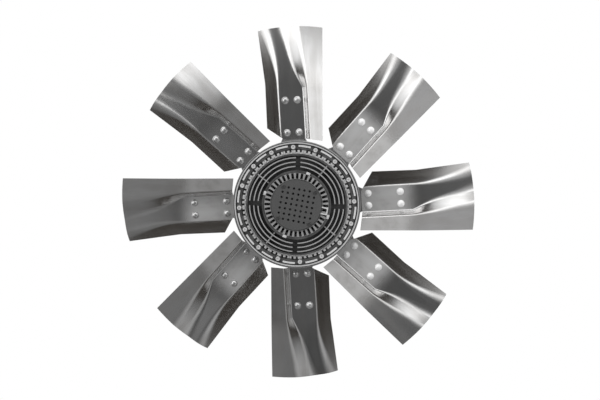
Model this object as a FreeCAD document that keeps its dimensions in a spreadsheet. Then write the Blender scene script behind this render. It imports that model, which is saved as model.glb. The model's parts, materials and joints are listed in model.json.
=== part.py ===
import FreeCAD, Part
import math
import os

import Sketcher

# Axial fan impeller: eight pressed blades riveted to the arms of a spider, round a finned hub.
# The axis is Y, the front faces -Y, +Z is up and one blade points straight up. The origin is on the
# axis, in the rear face of the shaft bush. "Level" below means millimetres forward (towards -Y) of the
# front face of the spider, on which the blades and the hub body sit.

SIZES = {
    # Whole impeller
    "blade_count": 8,
    "tip_radius": 352.0,
    "spider_stand": 32.0,
    # Spider
    "spider_thickness": 6.0,
    "spider_bore": 50.3,
    "spider_ring_inset": 2.5,
    "arm_half_width": 22.0,
    "arm_end_margin": 11.0,
    "arm_corner": 9.0,
    "arm_root_fillet": 12.0,
    # Blade sheet and its outline, seen from the front with the blade upright
    "blade_thickness": 2.5,
    "foot_clearance": 6.5,
    "crease_margin": 24.0,
    "foot_left_x": -22.0,
    "foot_left_rise": 9.5,
    "foot_corner_x": -53.5,
    "foot_corner_rise": 30.5,
    "elbow_x": -52.0,
    "elbow_z": 240.0,
    "tip_left_x": -60.5,
    "tip_right_x": 70.5,
    "foot_right_x": 58.5,
    "foot_right_rise": 1.0,
    "foot_flat_left": -18.0,
    "foot_flat_right": 28.0,
    # Blade section at the root: flange, flat land, steep step and front panel, parted by three bends
    "land_left": -25.5,
    "land_right": 26.0,
    "step_right": 32.0,
    "flange_angle": 46.0,
    "step_height": 19.0,
    "panel_angle": 17.0,
    "bend_radius": 5.0,
    # Blade section at the tip, where the same runs have turned and flowed into each other
    "tip_land_left": -50.0,
    "tip_land_right": -16.0,
    "tip_step_right": 17.0,
    "tip_flange_angle": 34.0,
    "tip_land_angle": 4.0,
    "tip_step_height": 15.4,
    "tip_panel_angle": 13.0,
    "tip_setback": 17.0,
    "tip_bend_radius": 60.0,
    "sheet_margin": 14.0,
    "trim_margin": 60.0,
    # Rivets
    "rivet_radius": 4.0,
    "rivet_clearance": 0.2,
    "rivet_head_radius": 7.25,
    "rivet_head_height": 4.2,
    "rivet_tail_radius": 6.2,
    "rivet_tail_height": 3.0,
    "rivet_pitch_x": 12.2,
    "rivet_outer_z": 206.0,
    "rivet_inner_rise": 20.1,
    # Hub body
    "rim_radius": 126.5,
    "rim_wall": 6.0,
    "rim_overhang": 5.0,
    "rim_level": 36.0,
    "rim_length": 15.0,
    "rim_taper": 4.0,
    "rim_chamfer": 1.0,
    "rim_bore_chamfer": 0.6,
    "hub_floor": 10.0,
    "ledge_level": 24.0,
    "ledge_width": 26.5,
    "boss_radius": 50.0,
    "boss_inner_radius": 44.0,
    "boss_front_level": 20.0,
    "boss_cap": 4.0,
    "casting_chamfer": 1.5,
    "tap_run_out": 1.0,
    "bush_flange_thickness": 8.0,
    # Shaft bush
    "shaft_radius": 19.0,
    "bush_radius": 28.0,
    "bush_clearance": 0.1,
    "bush_flange_radius": 44.0,
    "bush_chamfer": 1.0,
    "key_width": 10.0,
    "key_depth": 3.3,
    "bush_screw_circle": 36.0,
    "bush_screw_count": 6,
    # Screw ring
    "gasket_thickness": 1.0,
    "ring_clearance": 1.2,
    "ring_width": 15.3,
    "ring_lip": 3.0,
    "ring_level": 32.0,
    "screw_inset": 5.3,
    "screw_count": 16,
    "seat_radius": 5.4,
    "seat_height": 1.2,
    "arc_inset": 1.1,
    "arc_width": 3.6,
    "arc_height": 2.2,
    "arc_span": 12.0,
    "pocket_inset": 9.1,
    "pocket_width": 6.7,
    "pocket_depth": 4.0,
    "pocket_span": 6.6,
    # Finned cover
    "cover_turn": 5.5,
    "cover_base": 3.0,
    "cover_clearance": 0.4,
    "cover_wall": 3.2,
    "cover_wall_level": 38.0,
    "fin_inset": 4.4,
    "fin_pitch": 8.5,
    "fin_margin": 6.0,
    "fin_thickness": 3.0,
    "fin_level": 39.0,
    "fin_rise": 1.5,
    "fin_taper": 0.4,
    "inner_wall": 3.4,
    "shelf_width": 7.0,
    "shelf_level": 38.0,
    "gap_width": 9.6,
    "gap_margin": 0.6,
    "gap_count": 4,
    "rib_width": 2.6,
    "rib_turn": 36.0,
    "rib_bite": 1.0,
    # Vent ring and middle plate
    "vent_thickness": 6.0,
    "vent_clearance": 0.3,
    "vent_border": 1.7,
    "vent_lap": 3.6,
    "slot_count": 40,
    "slot_margin": 2.4,
    "slot_length": 11.0,
    "slot_width": 5.0,
    "lug_radius": 6.5,
    "lug_count": 4,
    "plate_turn": 14.0,
    "plate_border": 18.1,
    "plate_thickness": 3.0,
    "hole_pitch": 10.5,
    "hole_radius": 2.3,
    "grid_reach": 3,
    # Fasteners and clips
    "ring_screw_radius": 2.5,
    "ring_screw_head": 4.25,
    "ring_screw_head_height": 4.0,
    "ring_screw_length": 16.0,
    "plate_screw_radius": 2.0,
    "plate_screw_head": 3.6,
    "plate_screw_head_height": 2.4,
    "plate_screw_length": 8.0,
    "spider_screw_radius": 4.0,
    "spider_screw_flats": 13.0,
    "spider_screw_head_height": 5.3,
    "spider_screw_length": 14.0,
    "spider_screw_inset": 29.0,
    "bush_screw_radius": 3.0,
    "bush_screw_head": 5.0,
    "bush_screw_head_height": 6.0,
    "bush_screw_length": 20.0,
    "screw_clearance": 0.2,
    "screw_chamfer": 0.5,
    "socket_share": 0.94,
    "socket_depth_share": 0.55,
    "clip_turn": 24.0,
    "clip_count": 4,
    "clip_width": 8.0,
    "clip_thickness": 1.6,
    "clip_inset": 0.8,
    "clip_lap": 0.4,
    "clip_crown_radius": 2.0,
    "clip_crown_height": 1.4,
    "balance_turn": 105.0,
    "balance_width": 15.0,
    "balance_height": 4.0,
    "balance_wall": 2.4,
    "balance_gap": 0.6,
}


class Dim:
    """A size as a number together with the expression that binds it to the sheet."""

    def __init__(self, value, text=None):
        self.value = float(value)
        self.text = text if text is not None else repr(round(float(value), 9))

    @staticmethod
    def of(other):
        return other if isinstance(other, Dim) else Dim(other)

    def _joined(self, other, sign, value):
        return Dim(value, f"({self.text} {sign} {other.text})")

    def __add__(self, other):
        other = Dim.of(other)
        return self._joined(other, "+", self.value + other.value)

    def __radd__(self, other):
        return Dim.of(other) + self

    def __sub__(self, other):
        other = Dim.of(other)
        return self._joined(other, "-", self.value - other.value)

    def __rsub__(self, other):
        return Dim.of(other) - self

    def __mul__(self, other):
        other = Dim.of(other)
        return self._joined(other, "*", self.value * other.value)

    def __rmul__(self, other):
        return Dim.of(other) * self

    def __truediv__(self, other):
        other = Dim.of(other)
        return self._joined(other, "/", self.value / other.value)

    def __rtruediv__(self, other):
        return Dim.of(other) / self

    def __neg__(self):
        return Dim(-self.value, f"(-1 * {self.text})")

    def sin(self):
        return Dim(math.sin(math.radians(self.value)), f"sin({self.text})")

    def cos(self):
        return Dim(math.cos(math.radians(self.value)), f"cos({self.text})")


class Sizes:
    """The sheet's sizes, each read by its alias as a Dim."""

    def __init__(self, sheet):
        self._sheet = sheet

    def __getattr__(self, alias):
        return Dim(getattr(self._sheet, alias), f"Size.{alias}")


doc = FreeCAD.newDocument("axial_fan_impeller")
sheet = doc.addObject("Spreadsheet::Sheet", "Size")
for row, (alias, number) in enumerate(SIZES.items(), start=1):
    sheet.set(f"A{row}", alias)
    sheet.set(f"B{row}", str(number))
    sheet.setAlias(f"B{row}", alias)
doc.recompute()
S = Sizes(sheet)

# Radii that fit into each other: from the rim inwards to the outer wall of the finned cover, then from the
# grid of the middle plate outwards to its inner wall. The fins fill the space between the two walls.
rim_bore = S.rim_radius - S.rim_wall
hub_wall = S.rim_radius - S.rim_overhang
spider_ring = hub_wall - S.spider_ring_inset
spider_screw_circle = spider_ring - S.spider_screw_inset
ring_edge = rim_bore - S.ring_clearance
ring_step = ring_edge - S.ring_width
ring_bore = ring_step - S.ring_lip
screw_circle = ring_edge - S.screw_inset
cover_wall_outer = ring_bore - S.cover_clearance
cover_wall_inner = cover_wall_outer - S.cover_wall
plate_edge = S.hole_pitch * S.grid_reach + S.plate_border
slot_inner = plate_edge + S.slot_margin
slot_outer = slot_inner + S.slot_length
vent_edge = slot_outer + S.vent_border
inner_wall_bore = vent_edge + S.vent_clearance
inner_wall_edge = inner_wall_bore + S.inner_wall
first_fin = cover_wall_inner - S.fin_inset
fin_room = first_fin - inner_wall_edge - S.fin_margin
fin_count = max(0, math.floor(fin_room.value / S.fin_pitch.value) + 1)

# Heights of the blade's foot and of the inner rivets, from the wall of the hub outwards
blade_foot = hub_wall + S.foot_clearance
foot_left_z = hub_wall + S.foot_left_rise
foot_corner_z = hub_wall + S.foot_corner_rise
foot_right_z = hub_wall + S.foot_right_rise
rivet_inner_z = hub_wall + S.rivet_inner_rise

AXIS = FreeCAD.Vector(0, 1, 0)
nodes = []


def vector(x, y, z=0.0):
    return FreeCAD.Vector(x, y, z)


def origin_feature(body, role):
    return next(item for item in body.Origin.OriginFeatures if item.Role == role)


def new_body(name, turn=None):
    """A body whose Label is its node name, turned clockwise (seen from the front) about the axis."""
    body = doc.addObject("PartDesign::Body", name)
    body.Label = name
    if turn is not None:
        body.Placement = FreeCAD.Placement(vector(0, 0), FreeCAD.Rotation(AXIS, turn.value))
        body.setExpression("Placement.Rotation.Angle", turn.text)
    nodes.append(body)
    return body


def new_sketch(body, role, name, offset=None):
    """A sketch on one of the body's origin planes, moved along that plane's normal by offset."""
    sketch = body.newObject("Sketcher::SketchObject", name)
    sketch.AttachmentSupport = [(origin_feature(body, role), "")]
    sketch.MapMode = "FlatFace"
    if offset is not None:
        sketch.AttachmentOffset = FreeCAD.Placement(vector(0, 0, offset.value), FreeCAD.Rotation())
        sketch.setExpression("AttachmentOffset.Base.z", offset.text)
    return sketch


def front_sketch(body, name, level):
    """A sketch seen from the front (X right, Z up) at a level; its normal points forward."""
    return new_sketch(body, "XZ_Plane", name, S.spider_stand + level)


def side(level):
    """The Y coordinate of a level."""
    return -(S.spider_stand + level)


def constrain(sketch, kind, *where, size):
    index = sketch.addConstraint(Sketcher.Constraint(kind, *where, size.value))
    if "Size." in size.text:
        sketch.setExpression(f"Constraints[{index}]", size.text)


def place_point(sketch, edge, point, x, y):
    """Holds a sketch point at x, y from the sketch's origin."""
    constrain(sketch, "DistanceX", -1, 1, edge, point, size=Dim.of(x))
    constrain(sketch, "DistanceY", -1, 1, edge, point, size=Dim.of(y))


def polygon(sketch, points, domes=(), dome_x=None):
    """A closed outline through points, each held by the sheet.

    Its edges are straight, but those numbered in domes are arcs, anticlockwise about a centre at dome_x.
    """
    points = [(Dim.of(x), Dim.of(y)) for x, y in points]
    first = sketch.GeometryCount
    count = len(points)
    for number, ((x0, y0), (x1, y1)) in enumerate(zip(points, points[1:] + points[:1])):
        start, end = vector(x0.value, y0.value), vector(x1.value, y1.value)
        edge = dome_arc(start, end, dome_x.value) if number in domes else Part.LineSegment(start, end)
        sketch.addGeometry(edge, False)
    for number in domes:
        constrain(sketch, "DistanceX", -1, 1, first + number, 3, size=dome_x)
    for step in range(count):
        sketch.addConstraint(Sketcher.Constraint("Coincident", first + step, 2, first + (step + 1) % count, 1))
    for step, (x, y) in enumerate(points):
        place_point(sketch, first + step, 1, x, y)


def dome_arc(start, end, x):
    """The anticlockwise arc from start to end whose centre lies at x."""
    rise = (start.x - x) ** 2 + start.y ** 2 - (end.x - x) ** 2 - end.y ** 2
    centre = vector(x, rise / (2 * (start.y - end.y)))
    angles = [math.atan2(point.y - centre.y, point.x - centre.x) for point in (start, end)]
    return Part.ArcOfCircle(Part.Circle(centre, vector(0, 0, 1), (start - centre).Length), *angles)


def circle(sketch, x, y, radius):
    x, y, radius = Dim.of(x), Dim.of(y), Dim.of(radius)
    edge = sketch.addGeometry(Part.Circle(vector(x.value, y.value), vector(0, 0, 1), radius.value), False)
    constrain(sketch, "Radius", edge, size=radius)
    place_point(sketch, edge, 3, x, y)


def arc_slot(sketch, inner, outer, middle, span):
    """A piece of a ring about the origin: from inner to outer radius, span degrees about the angle middle."""
    inner, outer, middle, span = Dim.of(inner), Dim.of(outer), Dim.of(middle), Dim.of(span)
    angles = (middle - span / 2, middle + span / 2)
    arcs = []
    for radius in (inner, outer):
        ring = Part.Circle(vector(0, 0), vector(0, 0, 1), radius.value)
        ends = [math.radians(angle.value) for angle in angles]
        arcs.append(sketch.addGeometry(Part.ArcOfCircle(ring, *ends), False))
        sketch.addConstraint(Sketcher.Constraint("Coincident", arcs[-1], 3, -1, 1))
        constrain(sketch, "Radius", arcs[-1], size=radius)
    for point, angle in enumerate(angles, start=1):
        across = vector(math.cos(math.radians(angle.value)), math.sin(math.radians(angle.value)))
        edge = Part.LineSegment(across * inner.value, across * outer.value)
        line = sketch.addGeometry(edge, False)
        sketch.addConstraint(Sketcher.Constraint("Coincident", line, 1, arcs[0], point))
        sketch.addConstraint(Sketcher.Constraint("Coincident", line, 2, arcs[1], point))
        sketch.addConstraint(Sketcher.Constraint("PointOnObject", -1, 1, line))
        index = sketch.addConstraint(Sketcher.Constraint("Angle", line, math.radians(angle.value)))
        sketch.setExpression(f"Constraints[{index}]", angle.text)


def finish(body, feature):
    body.Tip = feature
    return feature


def pad(body, sketch, length, name, backward=False):
    feature = body.newObject("PartDesign::Pad", name)
    feature.Profile = (sketch, [""])
    feature.Length = Dim.of(length).value
    feature.setExpression("Length", Dim.of(length).text)
    feature.Reversed = backward
    return finish(body, feature)


def pocket(body, sketch, depth, name, forward=False):
    """Cuts backward from the sketch, or forward of it."""
    feature = body.newObject("PartDesign::Pocket", name)
    feature.Profile = (sketch, [""])
    feature.Length = Dim.of(depth).value
    feature.setExpression("Length", Dim.of(depth).text)
    feature.Reversed = forward
    return finish(body, feature)


def turned(body, name, points):
    """A solid turned about the axis from a half section given as (radius, level) points."""
    sketch = new_sketch(body, "XY_Plane", name + "_section")
    polygon(sketch, [(radius, side(Dim.of(level))) for radius, level in points])
    feature = body.newObject("PartDesign::Revolution", name)
    feature.Profile = (sketch, [""])
    feature.ReferenceAxis = (sketch, ["V_Axis"])
    feature.Angle = 360
    return finish(body, feature)


def ring_of(body, features, count, name):
    """Repeats features evenly round the axis."""
    feature = body.newObject("PartDesign::PolarPattern", name)
    feature.Originals = features
    feature.Axis = (origin_feature(body, "Y_Axis"), [""])
    feature.Angle = 360
    feature.Occurrences = int(Dim.of(count).value)
    feature.setExpression("Occurrences", Dim.of(count).text)
    return finish(body, feature)


def turned_pin(body, name, x, z, steps, domes=()):
    """A stepped pin along Y at (x, z): steps are (radius, level) points from its front centre to its back.

    The steps numbered in domes are round instead of conical.
    """
    sketch = new_sketch(body, "XY_Plane", name + "_section", Dim.of(z))
    x = Dim.of(x)
    points = [(x + Dim.of(radius), side(Dim.of(level))) for radius, level in steps]
    polygon(sketch, points, domes, x)
    length = S.spider_stand
    line = Part.LineSegment(vector(x.value, 0), vector(x.value, length.value))
    axis = sketch.addGeometry(line, True)
    sketch.addConstraint(Sketcher.Constraint("Vertical", axis))
    place_point(sketch, axis, 1, x, 0)
    constrain(sketch, "DistanceY", axis, 1, axis, 2, size=length)
    feature = body.newObject("PartDesign::Revolution", name)
    feature.Profile = (sketch, [""])
    feature.ReferenceAxis = (sketch, ["Axis0"])
    feature.Angle = 360
    return finish(body, feature)


def hexagon(sketch, x, z, across_flats):
    """A hexagon about (x, z), one corner pointing away from the axis when x is 0."""
    corner = Dim.of(across_flats) / math.sqrt(3)
    points = []
    for step in range(6):
        angle = math.radians(90 + 60 * step)
        points.append((Dim.of(x) + corner * math.cos(angle), Dim.of(z) + corner * math.sin(angle)))
    polygon(sketch, points)


# Spider: a ring and eight arms cut from one plate, screwed to the back of the hub body.

def build_spider():
    body = new_body("spider")
    ring = front_sketch(body, "ring_plan", -S.spider_thickness)
    circle(ring, 0, 0, spider_ring)
    circle(ring, 0, 0, S.spider_bore)
    pad(body, ring, S.spider_thickness, "ring_plate")
    plan = front_sketch(body, "arm_plan", -S.spider_thickness)
    corner = S.arm_half_width - S.arm_corner
    reach = S.rivet_outer_z + S.arm_end_margin
    shoulder = reach - S.arm_corner
    base, neck = spider_ring - S.arm_root_fillet, spider_ring + S.arm_root_fillet
    splay = S.arm_half_width + S.arm_root_fillet
    polygon(plan, [(-splay, base), (splay, base), (S.arm_half_width, neck), (S.arm_half_width, shoulder),
                   (corner, reach), (-corner, reach), (-S.arm_half_width, shoulder),
                   (-S.arm_half_width, neck)])
    arm = pad(body, plan, S.spider_thickness, "arm")
    holes = front_sketch(body, "rivet_hole_plan", Dim(0))
    for x in (-S.rivet_pitch_x, S.rivet_pitch_x):
        for z in (S.rivet_outer_z, rivet_inner_z):
            circle(holes, x, z, S.rivet_radius + S.rivet_clearance)
    drilled = pocket(body, holes, S.spider_thickness, "rivet_holes")
    screws = front_sketch(body, "screw_hole_plan", Dim(0))
    spread = 180 / S.blade_count
    circle(screws, spider_screw_circle * spread.sin(), spider_screw_circle * spread.cos(),
           S.spider_screw_radius + S.screw_clearance)
    bored = pocket(body, screws, S.spider_thickness, "screw_hole")
    ring_of(body, [arm, drilled, bored], S.blade_count, "arms")


# Blade: a root pressed to flange, land, step and panel, lofted into a twisted and cambered outer part,
# then trimmed to its outline and drilled for the rivets.

def bent_section(sketch, breaks, bends, thickness):
    """A bent strip of sheet: straight runs through breaks, joined by arcs, thickness measured to the back.

    breaks are the corners of the front face from left to right as (x, level); bends are the front radii at
    the inner corners. The back face is the same line moved back square to each run.
    """
    front = [vector(x, -level) for x, level in breaks]
    runs = [(b - a).normalize() for a, b in zip(front, front[1:])]
    square = [vector(-run.y, run.x) for run in runs]
    back = []
    for number, corner in enumerate(front):
        before = square[max(number - 1, 0)]
        after = square[min(number, len(square) - 1)]
        mean = (before + after).normalize()
        back.append(corner + mean * (thickness / mean.dot(before)))
    edges = rounded_line(front, [bend_radius(front, n, bends[n - 1], thickness, False) for n in
                                 range(1, len(front) - 1)])
    returned = rounded_line(back, [bend_radius(front, n, bends[n - 1], thickness, True) for n in
                                   range(1, len(front) - 1)])
    edges.append(Part.LineSegment(front[-1], back[-1]))
    edges.extend(reversed(returned))
    edges.append(Part.LineSegment(back[0], front[0]))
    for edge in edges:
        sketch.addGeometry(edge, False)
    for number in range(sketch.GeometryCount):
        sketch.addConstraint(Sketcher.Constraint("Block", number))


def bend_radius(line, number, radius, thickness, behind):
    """The radius of one bend on the front or the back face: the outside of a bend is wider."""
    before = line[number] - line[number - 1]
    after = line[number + 1] - line[number]
    hollow = before.cross(after).z > 0
    widened = hollow != behind
    return radius + thickness if widened else radius


def rounded_line(points, radii):
    """Line segments through points with a tangent arc at each inner corner."""
    edges = []
    start = points[0]
    for number, radius in enumerate(radii, start=1):
        corner = points[number]
        before = (corner - points[number - 1]).normalize()
        after = (points[number + 1] - corner).normalize()
        turn = before.getAngle(after)
        length = radius * math.tan(turn / 2)
        first = corner - before * length
        last = corner + after * length
        inward = (after - before).normalize()
        middle = corner + inward * (radius / math.cos(turn / 2) - radius)
        edges.append(Part.LineSegment(start, first))
        edges.append(Part.Arc(first, middle, last))
        start = last
    edges.append(Part.LineSegment(start, points[-1]))
    return edges


def run_through(left, right, step_end, step_height, angles, level):
    """Corners (x, level) of a section: edge, flange bend, land bend, step bend and edge."""
    flange, land, panel = (math.tan(math.radians(angle)) for angle in angles)
    margin = S.sheet_margin.value
    low = min(S.foot_corner_x.value, S.tip_left_x.value) - margin
    high = max(S.foot_right_x.value, S.tip_right_x.value) + margin
    left_level = level - land * (right - left)
    step_level = level + step_height
    return [(low, left_level - flange * (left - low)), (left, left_level), (right, level),
            (step_end, step_level), (high, step_level + panel * (high - step_end))]


# Where the sections past the crease lie, as shares of the way to the tip, and how late each value of the
# root passes into that of the tip: a pace below 1 comes soon after the crease, above 1 late. Over the
# lead share the sheet leaves its straight root softly.
SECTION_SHARES = (0.0, 0.07, 0.2, 0.42, 0.7, 1.0)
LEAD_SHARE = 0.08
ANGLE_PACES = (1.0, 0.6, 0.8)
LAND_LEFT_PACE = 1.7
LAND_RIGHT_PACE = 0.6
STEP_PACE = 1.2
HEIGHT_PACE = 0.8
SETBACK_PACE = 1.2
BEND_PACE = 1.2


def eased(share):
    """The share of the way from root to tip, starting level and soon rising evenly to 1."""
    start, whole = (value - LEAD_SHARE * (1 - math.exp(-value / LEAD_SHARE)) for value in (share, 1))
    return start / whole


def blade_sections():
    """The radius, the front face's corners and the bend radii of each section, from foot to past the tip."""
    face = S.blade_thickness.value
    crease = S.rivet_outer_z.value + S.crease_margin.value
    reach = S.tip_radius.value + S.sheet_margin.value - crease
    root_angles = (S.flange_angle, Dim(0), S.panel_angle)
    tip_angles = (S.tip_flange_angle, S.tip_land_angle, S.tip_panel_angle)

    def passing(root, tip, share, pace):
        return root.value + (tip.value - root.value) * eased(share) ** pace

    sections = []
    for share in SECTION_SHARES:
        left = passing(S.land_left, S.tip_land_left, share, LAND_LEFT_PACE)
        right = passing(S.land_right, S.tip_land_right, share, LAND_RIGHT_PACE)
        step_end = passing(S.step_right, S.tip_step_right, share, STEP_PACE)
        angles = [passing(*ends, share, pace) for *ends, pace in zip(root_angles, tip_angles, ANGLE_PACES)]
        height = passing(S.step_height, S.tip_step_height, share, HEIGHT_PACE)
        level = face - S.tip_setback.value * eased(share) ** SETBACK_PACE
        radius = passing(S.bend_radius, S.tip_bend_radius, share, BEND_PACE)
        corners = run_through(left, right, step_end, height, angles, level)
        sections.append((crease + reach * share, corners, (radius, radius, radius)))
    foot = foot_right_z.value - S.sheet_margin.value
    return [(foot, *sections[0][1:])] + sections


def build_blade(body):
    sketches = []
    for number, (radius, breaks, bends) in enumerate(blade_sections()):
        section = new_sketch(body, "XY_Plane", f"section_{number}", Dim(radius))
        bent_section(section, [(x, level + S.spider_stand.value) for x, level in breaks], bends,
                     S.blade_thickness.value)
        sketches.append(section)
    root = body.newObject("PartDesign::AdditiveLoft", "root")
    root.Profile = (sketches[0], [""])
    root.Sections = [(sketches[1], [""])]
    root.Ruled = True
    finish(body, root)
    wing = body.newObject("PartDesign::AdditiveLoft", "wing")
    wing.Profile = (sketches[1], [""])
    wing.Sections = [(sketch, [""]) for sketch in sketches[2:]]
    wing.Ruled = False
    finish(body, wing)
    doc.recompute()
    outline = front_sketch(body, "outline_plan", S.trim_margin)
    trim_outline(outline)
    pocket(body, outline, 2 * S.trim_margin, "trim")
    holes = front_sketch(body, "hole_plan", S.blade_thickness)
    for x in (-S.rivet_pitch_x, S.rivet_pitch_x):
        for z in (S.rivet_outer_z, rivet_inner_z):
            circle(holes, x, z, S.rivet_radius + S.rivet_clearance)
    pocket(body, holes, S.blade_thickness, "rivet_holes")


def trim_outline(sketch):
    """A frame wider than the blade, with the blade's outline as the hole in it."""
    left, right = S.tip_left_x - S.trim_margin, S.tip_right_x + S.trim_margin
    low, high = blade_foot - S.trim_margin, S.tip_radius + S.trim_margin
    polygon(sketch, [(left, low), (right, low), (right, high), (left, high)])
    tip = S.tip_radius.value
    corners = []
    for x in (S.tip_left_x, S.tip_right_x):
        corners.append((x, math.sqrt(tip ** 2 - x.value ** 2)))
    foot = [(S.foot_left_x, foot_left_z), (S.foot_corner_x, foot_corner_z), (S.elbow_x, S.elbow_z)]
    line = foot + [(corners[0][0], Dim(corners[0][1]))]
    first = sketch.GeometryCount
    for (x0, y0), (x1, y1) in zip(line, line[1:]):
        sketch.addGeometry(Part.LineSegment(vector(x0.value, y0.value), vector(x1.value, y1.value)), False)
    left_top = vector(corners[0][0].value, corners[0][1])
    right_top = vector(corners[1][0].value, corners[1][1])
    arc = sketch.addGeometry(Part.Arc(left_top, vector(0, tip), right_top), False)
    rest = [(corners[1][0], Dim(corners[1][1])), (S.foot_right_x, foot_right_z),
            (S.foot_flat_right, blade_foot), (S.foot_flat_left, blade_foot), foot[0]]
    for (x0, y0), (x1, y1) in zip(rest, rest[1:]):
        sketch.addGeometry(Part.LineSegment(vector(x0.value, y0.value), vector(x1.value, y1.value)), False)
    last = sketch.GeometryCount
    for number in range(first, last):
        following = number + 1 if number + 1 < last else first
        # The arc about the axis runs clockwise, so its ends swap.
        end = 1 if number == arc else 2
        start = 2 if following == arc else 1
        sketch.addConstraint(Sketcher.Constraint("Coincident", number, end, following, start))
    sketch.addConstraint(Sketcher.Constraint("Coincident", arc, 3, -1, 1))
    constrain(sketch, "Radius", arc, size=S.tip_radius)
    constrain(sketch, "DistanceX", -1, 1, arc, 2, size=S.tip_left_x)
    constrain(sketch, "DistanceX", -1, 1, arc, 1, size=S.tip_right_x)
    for step, (x, y) in enumerate(foot):
        place_point(sketch, first + step, 1, x, y)
    for step, (x, y) in enumerate(rest[1:-1]):
        place_point(sketch, arc + 2 + step, 1, x, y)


def build_blades():
    """One blade is modelled; the others are clones of it, turned round the axis."""
    first = new_body("blade_1")
    build_blade(first)
    for number in range(2, int(S.blade_count.value) + 1):
        turn = 360 * (number - 1) / S.blade_count
        body = new_body(f"blade_{number}", turn)
        clone = doc.addObject("PartDesign::FeatureBase", f"pressing_{number}")
        body.Group = [clone]
        clone.BaseFeature = first
        finish(body, clone)


def build_rivets():
    """Round-head rivets through blade and arm, with a second head formed at the back."""
    body = new_body("blade_rivets")
    seat = S.blade_thickness
    head = S.rivet_head_height
    back = -S.spider_thickness
    rivets = []
    for x in (-S.rivet_pitch_x, S.rivet_pitch_x):
        for z in (S.rivet_outer_z, rivet_inner_z):
            name = f"rivet_{len(rivets) + 1}"
            steps = [(0, seat + head), (S.rivet_head_radius, seat), (S.rivet_radius, seat),
                     (S.rivet_radius, back), (S.rivet_tail_radius, back), (0, back - S.rivet_tail_height)]
            rivets.append(turned_pin(body, name, x, z, steps, domes=(0, 4)))
    ring_of(body, rivets, S.blade_count, "rivet_sets")


# Hub body: a cast pot with the rim, a ledge for the covers and a boss for the bush.

def build_hub_body():
    body = new_body("hub_body")
    rear = -S.spider_stand + S.bush_flange_thickness
    bore = S.bush_radius + S.bush_clearance
    rim_back = S.rim_level - S.rim_length
    cap = S.boss_front_level - S.boss_cap
    ledge_bore = rim_bore - S.ledge_width
    edge = S.casting_chamfer
    turned(body, "casting", [
        (bore, rear), (S.boss_radius - edge, rear), (S.boss_radius, rear + edge), (S.boss_radius, 0),
        (hub_wall - edge, 0), (hub_wall, edge),
        (hub_wall, rim_back), (S.rim_radius, rim_back + S.rim_taper),
        (S.rim_radius, S.rim_level - S.rim_chamfer), (S.rim_radius - S.rim_chamfer, S.rim_level),
        (rim_bore + S.rim_bore_chamfer, S.rim_level), (rim_bore, S.rim_level - S.rim_bore_chamfer),
        (rim_bore, S.ledge_level), (ledge_bore, S.ledge_level), (ledge_bore, S.hub_floor),
        (S.boss_inner_radius, S.hub_floor), (S.boss_inner_radius, S.boss_front_level),
        (0, S.boss_front_level), (0, cap), (bore, cap)])
    holes = front_sketch(body, "ring_screw_plan", S.ledge_level)
    circle(holes, 0, screw_circle, S.ring_screw_radius + S.screw_clearance)
    depth = S.ring_screw_length - (S.ring_level + S.seat_height - S.ledge_level) + S.tap_run_out
    tapped = pocket(body, holes, depth, "ring_screw_hole")
    ring_of(body, [tapped], S.screw_count, "ring_screw_holes")
    back = front_sketch(body, "spider_screw_plan", Dim(0))
    spread = 180 / S.blade_count
    circle(back, spider_screw_circle * spread.sin(), spider_screw_circle * spread.cos(),
           S.spider_screw_radius + S.screw_clearance)
    depth = S.spider_screw_length - S.spider_thickness + S.tap_run_out
    drilled = pocket(body, back, depth, "spider_screw_hole", forward=True)
    ring_of(body, [drilled], S.blade_count, "spider_screw_holes")
    flange = front_sketch(body, "bush_screw_plan", rear)
    circle(flange, 0, S.bush_screw_circle, S.bush_screw_radius + S.screw_clearance)
    held = pocket(body, flange, S.bush_screw_length, "bush_screw_hole", forward=True)
    ring_of(body, [held], S.bush_screw_count, "bush_screw_holes")


def build_shaft_bush():
    """Flanged steel bush with a keyed bore, screwed into the boss from behind."""
    body = new_body("shaft_bush")
    rear = -S.spider_stand
    face = rear + S.bush_flange_thickness
    front = S.boss_front_level - S.boss_cap
    turned(body, "bush", [
        (S.shaft_radius, rear), (S.bush_flange_radius - S.bush_chamfer, rear),
        (S.bush_flange_radius, rear + S.bush_chamfer),
        (S.bush_flange_radius, face), (S.bush_radius, face), (S.bush_radius, front),
        (S.shaft_radius, front)])
    keyway = front_sketch(body, "keyway_plan", front)
    half = S.key_width / 2
    polygon(keyway, [(-half, 0), (half, 0), (half, S.shaft_radius + S.key_depth),
                     (-half, S.shaft_radius + S.key_depth)])
    pocket(body, keyway, front - rear, "keyway")
    seats = front_sketch(body, "seat_plan", rear)
    circle(seats, 0, S.bush_screw_circle, S.bush_screw_radius + S.screw_clearance)
    hole = pocket(body, seats, S.bush_flange_thickness, "screw_hole", forward=True)
    sink = front_sketch(body, "sink_plan", rear)
    circle(sink, 0, S.bush_screw_circle, S.bush_screw_head + S.screw_clearance)
    sunk = pocket(body, sink, S.bush_screw_head_height, "screw_sink", forward=True)
    ring_of(body, [hole, sunk], S.bush_screw_count, "screw_holes")


# Covers of the hub: gasket, screw ring, finned cover, vent ring and middle plate.

def build_gasket():
    body = new_body("cover_gasket")
    plan = front_sketch(body, "gasket_plan", S.ledge_level)
    circle(plan, 0, 0, ring_edge)
    circle(plan, 0, 0, ring_step)
    pad(body, plan, S.gasket_thickness, "gasket")
    holes = front_sketch(body, "hole_plan", S.ledge_level + S.gasket_thickness)
    circle(holes, 0, screw_circle, S.ring_screw_radius + S.screw_clearance)
    hole = pocket(body, holes, S.gasket_thickness, "hole")
    ring_of(body, [hole], S.screw_count, "holes")


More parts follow.
